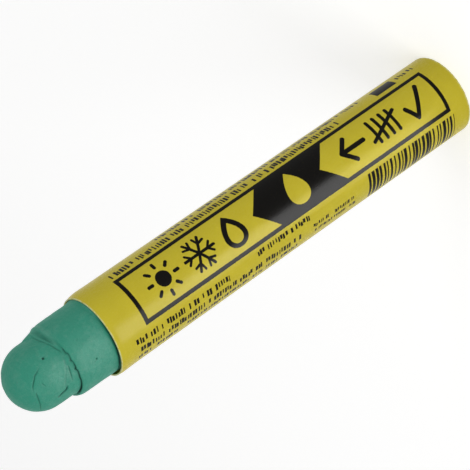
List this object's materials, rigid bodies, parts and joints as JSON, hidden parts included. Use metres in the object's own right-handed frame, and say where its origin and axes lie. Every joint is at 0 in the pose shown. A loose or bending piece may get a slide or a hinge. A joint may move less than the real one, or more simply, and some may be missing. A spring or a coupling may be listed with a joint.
{
  "type": "solid paint marker",
  "caption": "Stick of cast solid paint with a worn round nose, held in a wound paper sleeve that peels back as it wears, for marking metal, wood and stone.",
  "frame": {"origin": "centre of the rear end", "axes": "+Z along the axis, from the rear end to the nose; -Y is the side that the front of the printed label faces"},
  "size_m": [0.0184, 0.0184, 0.1207],
  "materials": {
    "solid_paint": "waxy, dull green cast paint with faint wrinkles",
    "printed_paper": "yellow printed paper with a soft gloss"
  },
  "bodies": {
    "root": {"solid_paint": "solid_paint", "paper_sleeve": "printed_paper"}
  },
  "joints": []
}
